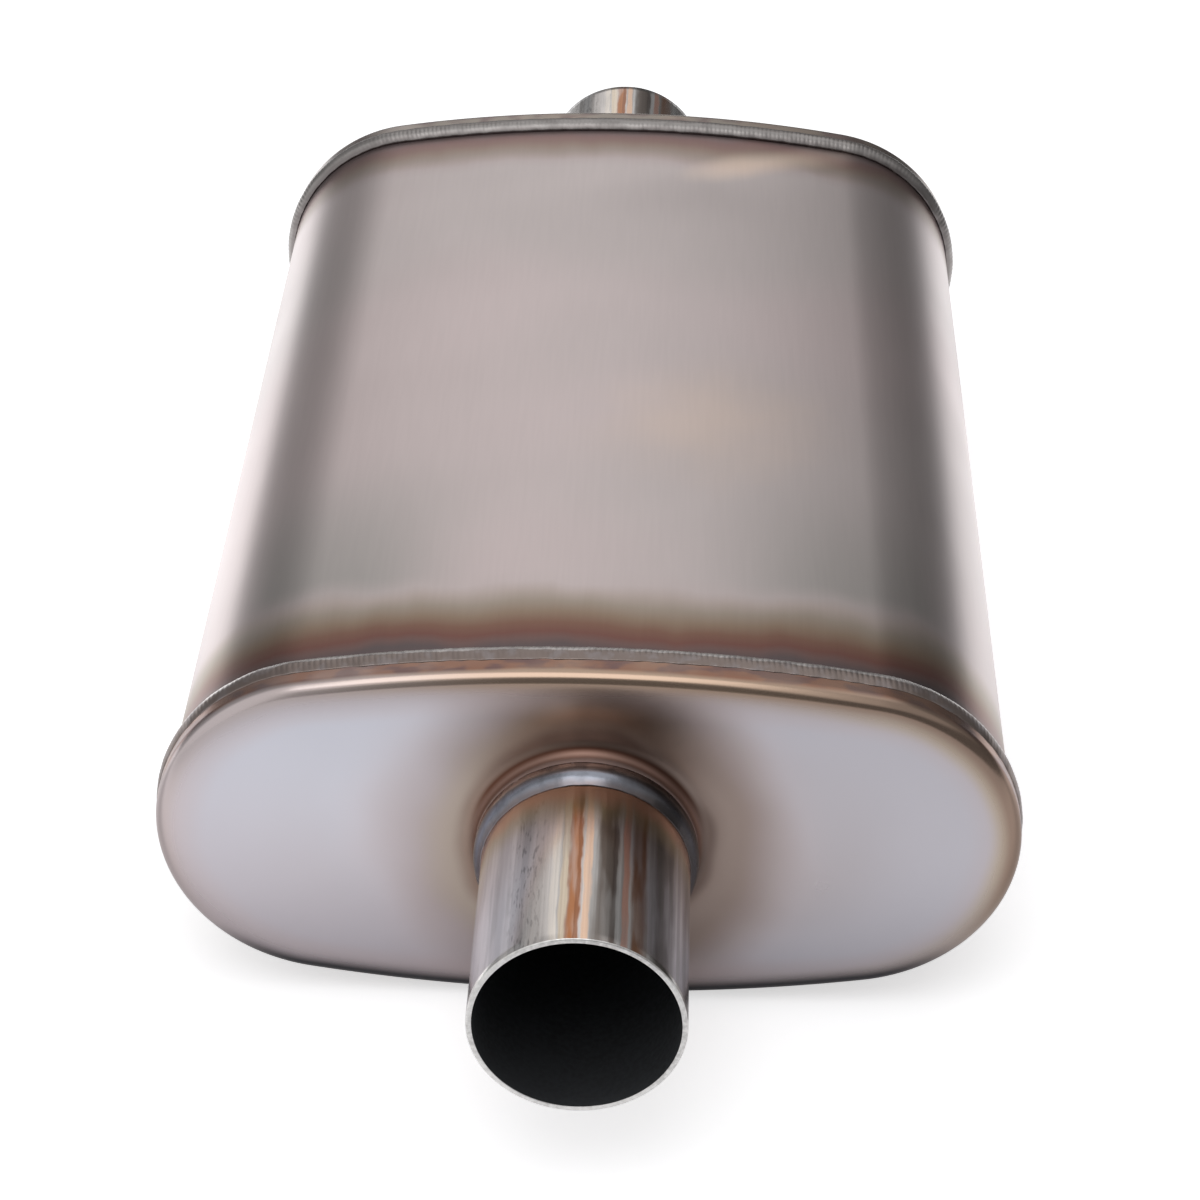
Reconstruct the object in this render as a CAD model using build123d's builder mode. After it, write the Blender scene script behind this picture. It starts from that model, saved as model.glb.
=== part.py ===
from build123d import *
from math import atan2, cos, degrees, radians, sin
import os

# Oval straight-through muffler, lying on its broad side.
# Sizes are in millimetres. The origin is the middle of the case, on the line through both necks.
# Y runs along that line with the inlet at -Y, X runs across the case and Z is up.

# Case
case_length = 360.4           # over the faces of the two end caps
shell_width = 235.2
shell_height = 106.0
crown_radius = 477.4          # of the shell's broad upper and lower faces
shell_wall = 1.2
shell_end_gap = 0.5           # from the shell's edge to the start of the cap's bend

# Seam that closes the rolled shell along its underside
seam_gap = 1.0
seam_bead_width = 5.0
seam_bead_rise = 0.6
seam_bead_end_gap = 0.4       # from the bead's end to the weld round the rim

# Pressed end caps
cap_wall = 2.0
cap_lap_clearance = 0.1       # between the cap's skirt and the shell
cap_skirt_depth = 9.0         # from the cap's face to the edge of its skirt
cap_crown_radius = 40.0       # of the slight fall towards the rim
cap_crown_angle = 10.0
cap_bend_radius = 4.0         # outside radius of the bend into the skirt
collar_projection = 9.0       # of the drawn collar, out from the cap's face
collar_root_radius = 4.0
collar_clearance = 0.1        # between the collar and the neck

# Weld round each cap's rim
rim_weld_lap = 1.6            # reach onto the skirt
rim_weld_leg = 4.9            # reach onto the shell
rim_weld_rise = 0.8           # above the skirt

# Necks
neck_diameter = 57.15
neck_wall = 1.5
neck_projection = 78.5        # out from the cap's face
neck_insertion = 24.0         # in from the cap's face
neck_end_chamfer = 0.3

# Weld round each neck
neck_weld_lap = 1.0           # reach onto the collar
neck_weld_leg = 4.3           # reach onto the neck
neck_weld_rise = 0.9          # above the collar

# Slotted core, whose two ends are opened out to slip over the necks
core_wall = 1.0
core_lap = 14.0               # length on each neck
core_clearance = 0.1          # between the opened end and the neck
core_end_room = 2.0           # from the neck's end to the start of the taper
core_taper_length = 5.0
slot_length = 28.0
slot_width = 5.0
slots_per_ring = 6
slot_ring_pitch = 46.0
slot_margin = 14.0            # plain tube at each end of the slots

# Plug welds that fix the core to the inlet neck; at the outlet it is free to slide
plug_count = 3
plug_diameter = 6.0
plug_rise = 0.6
plug_inset = 7.0              # from the core's edge

# Steel wool round the core, held by thin steel bands
wool_thickness = 7.0
wool_clearance = 0.2
wool_end_gap = 0.5
band_thickness = 0.5
band_width = 8.0
band_count = 3
band_margin = 30.0            # from the wool's end to the middle of the first band
band_clearance = 0.05         # between the wool and its bands

# Fibre packing
blanket_thickness = 7.4
blanket_clearance = 0.1       # over the bands, and under the side packing
packing_clearance = 0.3       # to the shell, and between the two halves

# Sizes that follow
face_y = -case_length / 2
case_half_width = shell_width / 2
case_half_height = shell_height / 2
crown_centre = crown_radius - case_half_height
lobe_radius = (crown_radius**2 - case_half_width**2 - crown_centre**2) / (2 * (crown_radius - case_half_width))
lobe_centre = case_half_width - lobe_radius
tangent_angle = degrees(atan2(crown_centre, lobe_centre))

skirt_offset = cap_lap_clearance + cap_wall
shoulder_width = (cap_crown_radius - cap_bend_radius) * sin(radians(cap_crown_angle)) + cap_bend_radius
bend_depth = cap_crown_radius - (cap_crown_radius - cap_bend_radius) * cos(radians(cap_crown_angle))
shell_end_depth = bend_depth + shell_end_gap
shell_length = case_length - 2 * shell_end_depth
rim_weld_end_depth = cap_skirt_depth + rim_weld_leg

neck_radius = neck_diameter / 2
neck_bore_radius = neck_radius - neck_wall
neck_end_y = face_y - neck_projection
neck_root_y = face_y + neck_insertion
collar_bore_radius = neck_radius + collar_clearance
collar_radius = collar_bore_radius + cap_wall
collar_end_y = face_y - collar_projection

core_radius = neck_bore_radius + core_wall
core_mouth_radius = neck_radius + core_clearance
core_end_y = neck_root_y - core_lap
core_taper_start_y = neck_root_y + core_end_room
core_taper_end_y = core_taper_start_y + core_taper_length

wool_radius = core_radius + wool_clearance + wool_thickness
wool_length = -2 * (core_taper_end_y + wool_end_gap)
band_radius = wool_radius + band_clearance + band_thickness
blanket_bore_radius = band_radius + blanket_clearance
blanket_radius = blanket_bore_radius + blanket_thickness


def draw_oval(growth):
    """Draw the shell's outer oval, four tangent arcs, moved outwards by growth."""
    lobe = lobe_radius + growth
    crown = crown_radius + growth
    with BuildLine() as oval:
        CenterArc((lobe_centre, 0), lobe, -tangent_angle, 2 * tangent_angle)
        CenterArc((0, -crown_centre), crown, tangent_angle, 180 - 2 * tangent_angle)
        CenterArc((-lobe_centre, 0), lobe, 180 - tangent_angle, 2 * tangent_angle)
        CenterArc((0, crown_centre), crown, 180 + tangent_angle, 180 - 2 * tangent_angle)
    make_face(oval.edges())


def carry_round_oval(draw_section):
    """Turn a section round each of the oval's four arcs in the inlet end.

    draw_section gets the arc's radius at the shell's outer surface. Its sketch has the distance
    from the arc's centre across and the depth behind the cap's face upwards.
    """
    arcs = [
        (lobe_centre, 0, lobe_radius, -tangent_angle, 2 * tangent_angle),
        (0, -crown_centre, crown_radius, tangent_angle, 180 - 2 * tangent_angle),
        (-lobe_centre, 0, lobe_radius, 180 - tangent_angle, 2 * tangent_angle),
        (0, crown_centre, crown_radius, 180 + tangent_angle, 180 - 2 * tangent_angle),
    ]
    for x, z, radius, start, turn in arcs:
        across = Vector(cos(radians(start)), 0, sin(radians(start)))
        along_turn = Vector(-sin(radians(start)), 0, cos(radians(start)))
        with BuildSketch(Plane(origin=(x, face_y, z), x_dir=across, z_dir=along_turn)) as section:
            draw_section(radius)
        revolve(section.sketch, axis=Axis((x, 0, z), (0, -1, 0)), revolution_arc=turn)


def flats_round(centre, radius, start, turn):
    """Give the two corners of the three flats that touch an arc at its ends and its middle."""
    reach = radius / cos(radians(turn / 4))
    corners = [radians(start + turn / 4), radians(start + 3 * turn / 4)]
    return [(centre[0] + reach * cos(angle), centre[1] + reach * sin(angle)) for angle in corners]


def draw_cap_rim(radius):
    """Draw the cap's edge: a slight fall from the flat face, the bend and the skirt."""
    outside = radius + skirt_offset
    crown_start = outside - shoulder_width
    bend_centre = (outside - cap_bend_radius, bend_depth)
    fall = cap_crown_angle - 90
    with BuildLine() as edge:
        CenterArc((crown_start, cap_crown_radius), cap_crown_radius, -90, cap_crown_angle)
        CenterArc(bend_centre, cap_bend_radius, fall, -fall)
        Polyline(
            (outside, bend_depth),
            (outside, cap_skirt_depth),
            (outside - cap_wall, cap_skirt_depth),
            *flats_round(bend_centre, cap_bend_radius - cap_wall, 0, fall),
            (crown_start, cap_wall),
            (crown_start, 0),
        )
    make_face(edge.edges())


def three_flats(start, crest, toe):
    """Give the corners of the three equal flats in the arc from start over crest to toe."""
    arc = ThreePointArc(start, crest, toe, mode=Mode.PRIVATE)
    return [arc @ (step / 3) for step in range(4)]


def draw_rim_weld(radius):
    """Draw the lap weld that covers the edge of the skirt and runs down to the shell."""
    skirt = radius + skirt_offset
    start = (skirt, cap_skirt_depth - rim_weld_lap)
    toe = (radius, rim_weld_end_depth)
    crest = (skirt + rim_weld_rise, (start[1] + toe[1]) / 2)
    with BuildLine() as bead:
        Polyline(
            *three_flats(start, crest, toe),
            (radius, cap_skirt_depth),
            (skirt, cap_skirt_depth),
            close=True,
        )
    make_face(bead.edges())


def planes_facing_out(y, count, shift):
    """Give planes on the Y axis at y that face outwards, evenly round it from shift of a step."""
    turns = [radians((index + shift) * 360 / count) for index in range(count)]
    return [Plane(origin=(0, y, 0), x_dir=(0, 1, 0), z_dir=(cos(turn), 0, sin(turn))) for turn in turns]


# Outer shell: one sheet rolled to the oval, its edges meeting along the underside
with BuildPart() as outer_shell:
    with BuildSketch(Plane.XZ.offset(-shell_length / 2)):
        draw_oval(0)
        with BuildSketch(mode=Mode.SUBTRACT):
            draw_oval(-shell_wall)
        with Locations((0, -case_half_height)):
            Rectangle(seam_gap, case_half_height, mode=Mode.SUBTRACT)
    extrude(amount=shell_length)

# Weld that fills the gap between the sheet's edges, and its bead between the two rims
with BuildPart() as shell_seam_weld:
    with BuildSketch(Plane.XZ.offset(-shell_length / 2)):
        draw_oval(0)
        with BuildSketch(mode=Mode.SUBTRACT):
            draw_oval(-shell_wall)
        with Locations((0, -case_half_height)):
            Rectangle(seam_gap, case_half_height, mode=Mode.INTERSECT)
    extrude(amount=shell_length)
    bead_length = case_length - 2 * (rim_weld_end_depth + seam_bead_end_gap)
    with BuildSketch(Plane.XZ.offset(-bead_length / 2)):
        with BuildLine():
            ThreePointArc(
                (-seam_bead_width / 2, -case_half_height),
                (0, -case_half_height - seam_bead_rise),
                (seam_bead_width / 2, -case_half_height),
            )
            Polyline(
                (seam_bead_width / 2, -case_half_height),
                (seam_bead_width / 2, 0),
                (-seam_bead_width / 2, 0),
                (-seam_bead_width / 2, -case_half_height),
            )
        make_face()
        with BuildSketch(mode=Mode.SUBTRACT):
            draw_oval(0)
    extrude(amount=bead_length)

# End cap: flat oval face, rolled rim and a collar drawn outwards for the neck
with BuildPart() as inlet_end_cap:
    carry_round_oval(draw_cap_rim)
    with BuildSketch(Plane.XZ.offset(-face_y)):
        draw_oval(skirt_offset - shoulder_width)
        Circle(collar_radius + collar_root_radius, mode=Mode.SUBTRACT)
    extrude(amount=-cap_wall)
    with BuildSketch(Plane.XY):
        root_centre = (collar_radius + collar_root_radius, face_y - collar_root_radius)
        with BuildLine():
            CenterArc(root_centre, collar_root_radius, 90, 90)
            Polyline(
                (collar_radius, root_centre[1]),
                (collar_radius, collar_end_y),
                (collar_bore_radius, collar_end_y),
                *flats_round(root_centre, collar_root_radius + cap_wall, 180, -90),
                (root_centre[0], face_y + cap_wall),
                (root_centre[0], face_y),
            )
        make_face()
    revolve(axis=Axis.Y)

with BuildPart() as outlet_end_cap:
    mirror(inlet_end_cap.part, about=Plane.XZ)

# Welds round the rims
with BuildPart() as inlet_rim_weld:
    carry_round_oval(draw_rim_weld)

with BuildPart() as outlet_rim_weld:
    mirror(inlet_rim_weld.part, about=Plane.XZ)

# Necks
with BuildPart() as inlet_neck:
    with BuildSketch(Plane.XZ.offset(-neck_end_y)):
        Circle(neck_radius)
        Circle(neck_bore_radius, mode=Mode.SUBTRACT)
    extrude(amount=-(neck_projection + neck_insertion))
    outer_rim = inlet_neck.edges().filter_by(GeomType.CIRCLE).group_by(Axis.Y)[0].sort_by(SortBy.RADIUS)[-1]
    chamfer(outer_rim, length=neck_end_chamfer)

with BuildPart() as outlet_neck:
    mirror(inlet_neck.part, about=Plane.XZ)

# Fillet welds between the collars and the necks
with BuildPart() as inlet_neck_weld:
    with BuildSketch(Plane.XY):
        weld_start = (collar_radius, collar_end_y + neck_weld_lap)
        weld_toe = (neck_radius, collar_end_y - neck_weld_leg)
        weld_crest = (collar_radius + neck_weld_rise, (weld_start[1] + weld_toe[1]) / 2)
        with BuildLine():
            Polyline(
                *three_flats(weld_start, weld_crest, weld_toe),
                (neck_radius, collar_end_y),
                (collar_radius, collar_end_y),
                close=True,
            )
        make_face()
    revolve(axis=Axis.Y)

with BuildPart() as outlet_neck_weld:
    mirror(inlet_neck_weld.part, about=Plane.XZ)

# Core: a tube with staggered rings of slots and a plain opened-out mouth on each neck
slotted_length = -2 * (core_taper_end_y + slot_margin) - slot_length
ring_count = int(slotted_length // slot_ring_pitch) + 1
slot_planes = []
for ring in range(ring_count):
    ring_y = (ring - (ring_count - 1) / 2) * slot_ring_pitch
    slot_planes += planes_facing_out(ring_y, slots_per_ring, ring % 2 / 2)
plug_planes = planes_facing_out(core_end_y + plug_inset, plug_count, 1 / 4)

with BuildPart() as slotted_core:
    with BuildSketch(Plane.XY):
        with BuildLine():
            Polyline(
                (neck_bore_radius, 0),
                (neck_bore_radius, core_taper_end_y),
                (core_mouth_radius, core_taper_start_y),
                (core_mouth_radius, core_end_y),
                (core_mouth_radius + core_wall, core_end_y),
                (core_mouth_radius + core_wall, core_taper_start_y),
                (core_radius, core_taper_end_y),
                (core_radius, 0),
                close=True,
            )
        make_face()
    revolve(axis=Axis.Y)
    mirror(about=Plane.XZ)
    with BuildSketch(*slot_planes):
        Rectangle(slot_length, slot_width)
    extrude(amount=2 * core_radius, mode=Mode.SUBTRACT)
    with BuildSketch(*plug_planes):
        Circle(plug_diameter / 2)
    extrude(amount=2 * core_radius, mode=Mode.SUBTRACT)

# Plug welds, one in each hole of the core's inlet mouth, down on the neck
with BuildPart() as core_plug_welds:
    with BuildSketch(*plug_planes):
        Circle(plug_diameter / 2)
    extrude(amount=core_mouth_radius + core_wall + plug_rise)
    with BuildSketch(Plane.XZ.offset(-neck_end_y)):
        Circle(neck_radius)
    extrude(amount=neck_end_y - neck_root_y, mode=Mode.SUBTRACT)

# Steel wool sleeve, between the core's two tapers
with BuildPart() as steel_wool_sleeve:
    with BuildSketch(Plane.XZ.offset(-wool_length / 2)):
        Circle(wool_radius)
        Circle(core_radius + wool_clearance, mode=Mode.SUBTRACT)
    extrude(amount=wool_length)

# Bands round the wool
with BuildPart() as wool_bands:
    band_span = wool_length - 2 * band_margin
    for band in range(band_count):
        band_y = (band / (band_count - 1) - 0.5) * band_span
        with BuildSketch(Plane.XZ.offset(-band_y)):
            Circle(band_radius)
            Circle(band_radius - band_thickness, mode=Mode.SUBTRACT)
        extrude(amount=band_width / 2, both=True)

# Round blanket over the bands, as long as the shell
with BuildPart() as packing_blanket:
    with BuildSketch(Plane.XZ.offset(-shell_length / 2)):
        Circle(blanket_radius)
        Circle(blanket_bore_radius, mode=Mode.SUBTRACT)
    extrude(amount=shell_length)

# Side packing that fills the case from the blanket out to the shell
with BuildPart() as right_packing:
    with BuildSketch(Plane.XZ.offset(-shell_length / 2)):
        draw_oval(-shell_wall - packing_clearance)
        Circle(blanket_radius + blanket_clearance, mode=Mode.SUBTRACT)
        with Locations((packing_clearance / 2, 0)):
            Rectangle(shell_width, shell_height, align=(Align.MIN, Align.CENTER), mode=Mode.INTERSECT)
    extrude(amount=shell_length)

with BuildPart() as left_packing:
    mirror(right_packing.part, about=Plane.YZ)

pieces = {
    "outer_shell": outer_shell,
    "shell_seam_weld": shell_seam_weld,
    "inlet_end_cap": inlet_end_cap,
    "outlet_end_cap": outlet_end_cap,
    "inlet_rim_weld": inlet_rim_weld,
    "outlet_rim_weld": outlet_rim_weld,
    "inlet_neck": inlet_neck,
    "outlet_neck": outlet_neck,
    "inlet_neck_weld": inlet_neck_weld,
    "outlet_neck_weld": outlet_neck_weld,
    "slotted_core": slotted_core,
    "core_plug_welds": core_plug_welds,
    "steel_wool_sleeve": steel_wool_sleeve,
    "wool_bands": wool_bands,
    "packing_blanket": packing_blanket,
    "right_packing": right_packing,
    "left_packing": left_packing,
}
os.makedirs("parts", exist_ok=True)
for name, piece in pieces.items():
    piece.part.label = name
    export_step(piece.part, f"parts/{name}.step")
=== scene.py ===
"""Looks of an oval straight-through performance muffler.

Fine sheet surfaces, rippled weld beads and heat-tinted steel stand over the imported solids.
Sizes are in metres. Y runs through both necks with the inlet at -Y, X is across and Z is up.
"""

import logging
import math
from dataclasses import dataclass
from enum import Enum
from typing import Sequence

import bpy
import numpy as np
from mathutils import Matrix, Vector

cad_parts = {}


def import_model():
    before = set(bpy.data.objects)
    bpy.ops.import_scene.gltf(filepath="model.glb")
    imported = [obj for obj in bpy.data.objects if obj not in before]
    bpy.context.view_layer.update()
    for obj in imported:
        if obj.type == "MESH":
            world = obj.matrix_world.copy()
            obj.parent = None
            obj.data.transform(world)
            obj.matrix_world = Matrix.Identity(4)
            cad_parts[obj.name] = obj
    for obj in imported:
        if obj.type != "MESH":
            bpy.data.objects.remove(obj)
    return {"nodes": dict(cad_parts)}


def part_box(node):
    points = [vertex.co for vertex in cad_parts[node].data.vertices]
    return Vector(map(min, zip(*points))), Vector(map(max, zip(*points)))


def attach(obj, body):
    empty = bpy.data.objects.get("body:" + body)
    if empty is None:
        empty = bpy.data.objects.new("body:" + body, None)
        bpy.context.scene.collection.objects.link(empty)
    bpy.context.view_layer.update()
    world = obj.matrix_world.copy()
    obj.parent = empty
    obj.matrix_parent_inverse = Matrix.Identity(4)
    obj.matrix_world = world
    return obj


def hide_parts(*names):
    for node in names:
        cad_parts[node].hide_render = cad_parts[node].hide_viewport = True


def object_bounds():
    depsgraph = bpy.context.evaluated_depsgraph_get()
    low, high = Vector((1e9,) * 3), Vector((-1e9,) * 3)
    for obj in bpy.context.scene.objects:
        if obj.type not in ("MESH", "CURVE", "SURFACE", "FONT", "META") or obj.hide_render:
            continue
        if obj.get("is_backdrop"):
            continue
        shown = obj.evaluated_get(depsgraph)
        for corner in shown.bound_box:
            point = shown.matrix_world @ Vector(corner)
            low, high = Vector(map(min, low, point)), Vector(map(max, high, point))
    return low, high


LOG = logging.getLogger("muffler")
MM = 0.001
IMAGE_SIDE = 1200
SENSOR_WIDTH = 36.0
QUAD = 4

HALVES = (-0.01, 0.01)      # along Y, from the inlet's half into the outlet's
NOISE = (0.3, 0.7)          # where nearly all of a noise lies
ROUGH_BELOW, ROUGH_ABOVE = 0.04, 0.06    # how far noise takes a roughness down and up
WHITE = (1.0, 1.0, 1.0, 1.0)

Colour = tuple[float, float, float, float]
Fade = tuple[float, ...]    # where a fade starts and ends, then its levels there unless 0 and 1
Triple = tuple[float, float, float]
Lumps = tuple[float, float]     # of a noise: how many to a metre, and their detail
Relief = tuple[float, float]    # of a fine relief: its strength, and its height in metres
Socket = bpy.types.NodeSocket
Value = float | Socket


class Side(Enum):
    """The two ends of the muffler, by the sign of their Y."""

    INLET = -1
    OUTLET = 1

    @property
    def word(self) -> str:
        """The word that starts the names of this end's nodes."""
        return self.name.lower()


def paint(red: int, green: int, blue: int) -> Colour:
    """Turn a display colour into the linear one that a shader takes.

    Args:
        red, green, blue: 0 to 255, as a screen shows them.

    Returns:
        Red, green, blue and alpha, 0 to 1. Each is ((c + 0.055) / 1.055) to the power 2.4.
    """
    screen = np.array([red, green, blue]) / 255
    linear = np.where(screen <= 0.04045, screen / 12.92, ((screen + 0.055) / 1.055) ** 2.4)
    return (*(float(part) for part in linear), 1.0)


def wander(share: np.ndarray, lowest: int, count: int, seed: int) -> np.ndarray:
    """Give a smooth irregular value, 0 to 1, that meets itself after one round.

    It is the sum of cosines of whole numbers of waves, with random phases, scaled into 0 to 1.

    Args:
        share: how far round, 0 to 1.
        lowest: waves in a round for the longest of them.
        count: how many cosines are added.
        seed: of the random phases and weights.
    """
    draw = np.random.default_rng(seed)
    waves = lowest + np.arange(count) * max(1, lowest // 2)
    phases = draw.uniform(0, math.tau, count)
    weights = draw.uniform(0.4, 1.0, count)
    total = (weights * np.cos(math.tau * share[..., None] * waves + phases)).sum(axis=-1)
    return 0.5 + 0.5 * total / weights.sum()


def bend(centre: tuple[float, float], radius: float, start: float, end: float, count: int) -> np.ndarray:
    """Give points on an arc of a profile: the centre plus radius times (cosine, sine) of the angle.

    Args:
        centre: (reach, depth) of the arc's centre.
        radius: of the arc.
        start, end: angles in degrees.
        count: how many points, both ends among them.
    """
    angle = np.radians(np.linspace(start, end, count))
    return np.stack([centre[0] + radius * np.cos(angle), centre[1] + radius * np.sin(angle)], axis=-1)


def straight(start: tuple[float, float], end: tuple[float, float], count: int) -> np.ndarray:
    """Give evenly spaced points on a line of a profile, both ends among them."""
    return np.linspace(start, end, count)


def ring_quads(rows: int, columns: int) -> np.ndarray:
    """Give the faces of a surface that meets itself both ways, as a bent tube does."""
    row, column = np.meshgrid(np.arange(rows), np.arange(columns), indexing="ij")
    below, beside = (row + 1) % rows, (column + 1) % columns
    corners = (row, column), (below, column), (below, beside), (row, beside)
    return np.stack([r * columns + c for r, c in corners], axis=-1).reshape(-1, QUAD)


def bar_quads(rows: int, columns: int) -> np.ndarray:
    """Give the faces of a bar whose section is a closed loop of two facing halves.

    The sides join each row of points to the next. An end joins each point of the loop's first
    half to the point that faces it in the second half.
    """
    row, column = np.meshgrid(np.arange(rows - 1), np.arange(columns), indexing="ij")
    beside = (column + 1) % columns
    corners = (row, column), (row + 1, column), (row + 1, beside), (row, beside)
    sides = np.stack([r * columns + c for r, c in corners], axis=-1).reshape(-1, QUAD)
    near = np.arange(columns // 2 - 1)
    far = columns - 1 - near
    first = np.stack([near, near + 1, far - 1, far], axis=-1)
    last = first[:, ::-1] + (rows - 1) * columns
    return np.concatenate([sides, first, last])


def volume_of(points: np.ndarray, quads: np.ndarray) -> float:
    """Give a closed mesh's volume, below zero where its faces point inwards.

    Each quad adds a . (b x c + c x d) / 6.
    """
    a, b, c, d = (points[quads[:, corner]] for corner in range(QUAD))
    return float(np.einsum("ij,ij->", a, np.cross(b, c) + np.cross(c, d)) / 6)


def put(name: str, data: bpy.types.ID) -> bpy.types.Object:
    """Put an object with this data into the scene, at the origin."""
    thing = bpy.data.objects.new(name, data)
    bpy.context.scene.collection.objects.link(thing)
    return thing


def store(piece: bpy.types.Object, name: str, values: np.ndarray) -> None:
    """Store a number at each point of a piece's mesh, for its finish."""
    layer = piece.data.attributes.new(name, "FLOAT", "POINT")
    layer.data.foreach_set("value", values.astype(np.float32).ravel())


def make_piece(
    name: str,
    points: np.ndarray,
    quads: np.ndarray,
    finishes: Sequence[bpy.types.Material],
    finish_of_face: np.ndarray | None = None,
) -> bpy.types.Object:
    """Make a smooth object at the origin from points and quads, its faces outwards.

    Args:
        name: of the object and its mesh.
        points: any grid of points, last axis x, y and z.
        quads: four point numbers for each face.
        finishes: the materials.
        finish_of_face: which finish each face has, the first where it is None.

    Returns:
        The object, riding on the one body.
    """
    points = points.reshape(-1, 3)
    if volume_of(points, quads) < 0:
        quads = quads[:, ::-1]
    mesh = bpy.data.meshes.new(name)
    mesh.vertices.add(len(points))
    mesh.vertices.foreach_set("co", points.astype(np.float32).ravel())
    mesh.loops.add(quads.size)
    mesh.loops.foreach_set("vertex_index", quads.astype(np.int32).ravel())
    mesh.polygons.add(len(quads))
    mesh.polygons.foreach_set("loop_start", np.arange(0, quads.size, QUAD, dtype=np.int32))
    mesh.polygons.foreach_set("use_smooth", np.ones(len(quads), bool))
    for finish in finishes:
        mesh.materials.append(finish)
    if finish_of_face is not None:
        mesh.polygons.foreach_set("material_index", finish_of_face.astype(np.int32))
    mesh.update(calc_edges=True)
    mesh.validate()
    LOG.info("%s: %d faces", name, len(quads))
    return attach(put(name, mesh), "root")


class Bench:
    """Lays out the nodes of one material or world and joins them."""

    def __init__(self, owner: bpy.types.Material | bpy.types.World) -> None:
        """Start with the owner's own new nodes."""
        owner.use_nodes = True
        self.tree = owner.node_tree

    def node(self, kind: str, inputs: dict[int | str, object], **settings: object) -> bpy.types.Node:
        """Add a node.

        Args:
            kind: the node's type, without its ShaderNode.
            inputs: a value, a colour or another node's output for each input, by number or name.
            settings: the node's own properties.
        """
        node = self.tree.nodes.new("ShaderNode" + kind)
        for key, setting in settings.items():
            setattr(node, key, setting)
        for key, value in inputs.items():
            self.feed(node.inputs[key], value)
        return node

    def feed(self, socket: Socket, value: object) -> None:
        """Give an input a plain value, or join another node's output to it."""
        if isinstance(value, Socket):
            self.tree.links.new(value, socket)
        else:
            socket.default_value = value

    def math(self, operation: str, *values: Value) -> Socket:
        """Work out one number from others."""
        return self.node("Math", dict(enumerate(values)), operation=operation).outputs[0]

    def times(self, first: Value, second: Value) -> Socket:
        """Multiply two numbers."""
        return self.math("MULTIPLY", first, second)

    def plus(self, first: Value, second: Value) -> Socket:
        """Add two numbers."""
        return self.math("ADD", first, second)

    def less(self, first: Value, second: Value) -> Socket:
        """Take the second number from the first."""
        return self.math("SUBTRACT", first, second)

    def size(self, value: Value) -> Socket:
        """Give a number without its sign."""
        return self.math("ABSOLUTE", value)

    def swing(self, noise: Value, span: float) -> Socket:
        """Turn noise of 0 to 1 into a number round zero, span from end to end."""
        return self.times(self.less(noise, 0.5), span)

    def fade(self, value: Value, start: float, end: float, low: float = 0.0, high: float = 1.0) -> Socket:
        """Go smoothly from low, where value is start, to high, where it is end."""
        inputs = {0: value, 1: start, 2: end, 3: low, 4: high}
        return self.node("MapRange", inputs, interpolation_type="SMOOTHSTEP").outputs[0]

    def mix(self, factor: Value, first: object, second: object, blend: str = "MIX") -> Socket:
        """Mix two colours."""
        inputs = {0: factor, 6: first, 7: second}
        return self.node("Mix", inputs, data_type="RGBA", blend_type=blend).outputs[2]

    def ramp(self, value: Value, stops: Sequence[tuple[float, Colour]]) -> Socket:
        """Give the colour at value between the stops, which run from 0 to 1."""
        node = self.node("ValToRGB", {0: value})
        elements = node.color_ramp.elements
        for place, colour in stops[1:-1]:
            elements.new(place).color = colour
        for element, (place, colour) in zip((elements[0], elements[-1]), (stops[0], stops[-1])):
            element.position = place
            element.color = colour
        return node.outputs[0]

    def place(self) -> Socket:
        """Give the point on the object, in metres."""
        return self.node("TexCoord", {}).outputs["Object"]

    def split(self, vector: Socket) -> tuple[Socket, ...]:
        """Give a vector's x, y and z."""
        return tuple(self.node("SeparateXYZ", {0: vector}).outputs)

    def stretch(self, vector: Socket, scale: Sequence[float]) -> Socket:
        """Multiply a vector by one number along each axis."""
        return self.node("VectorMath", {0: vector, 1: tuple(scale)}, operation="MULTIPLY").outputs[0]

    def cloud(self, vector: Socket, scale: float, detail: float = 2.0) -> Socket:
        """Give smooth noise, 0 to 1 round one half, with scale lumps to a metre."""
        return self.node("TexNoise", {"Vector": vector, "Scale": scale, "Detail": detail}).outputs[0]

    def streaky(self, vector: Socket, scale: Triple, detail: float = 2.0) -> Socket:
        """Give smooth noise with its own number of lumps to a metre along each axis."""
        return self.cloud(self.stretch(vector, scale), 1.0, detail)

    def relief(self, height: Value, strength: float, distance: float) -> Socket:
        """Give the normal of a fine relief."""
        return self.node("Bump", {"Height": height, "Strength": strength, "Distance": distance}).outputs[0]

    def length(self, vector: Socket) -> Socket:
        """Give a vector's length."""
        return self.node("VectorMath", {0: vector}, operation="LENGTH").outputs[1]

    def attribute(self, name: str) -> Socket:
        """Give a number that the mesh stores at each of its points."""
        return self.node("Attribute", {}, attribute_name=name).outputs["Fac"]

    def finish(self, shader: bpy.types.Node, colour: Socket, rough: Value, normal: Socket) -> None:
        """Join a shader's colour, roughness and relief."""
        self.feed(shader.inputs["Base Color"], colour)
        self.feed(shader.inputs["Roughness"], rough)
        self.feed(shader.inputs["Normal"], normal)

    def spread(self, noise: Socket, roughness: float) -> Socket:
        """Vary a roughness a little by noise."""
        return self.fade(noise, *NOISE, roughness - ROUGH_BELOW, roughness + ROUGH_ABOVE)

    def from_face(self, face: float, along: Socket) -> Socket:
        """Give the depth behind the nearer cap's face in millimetres, from the point's y."""
        return self.times(self.less(face, self.size(along)), 1 / MM)


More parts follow.
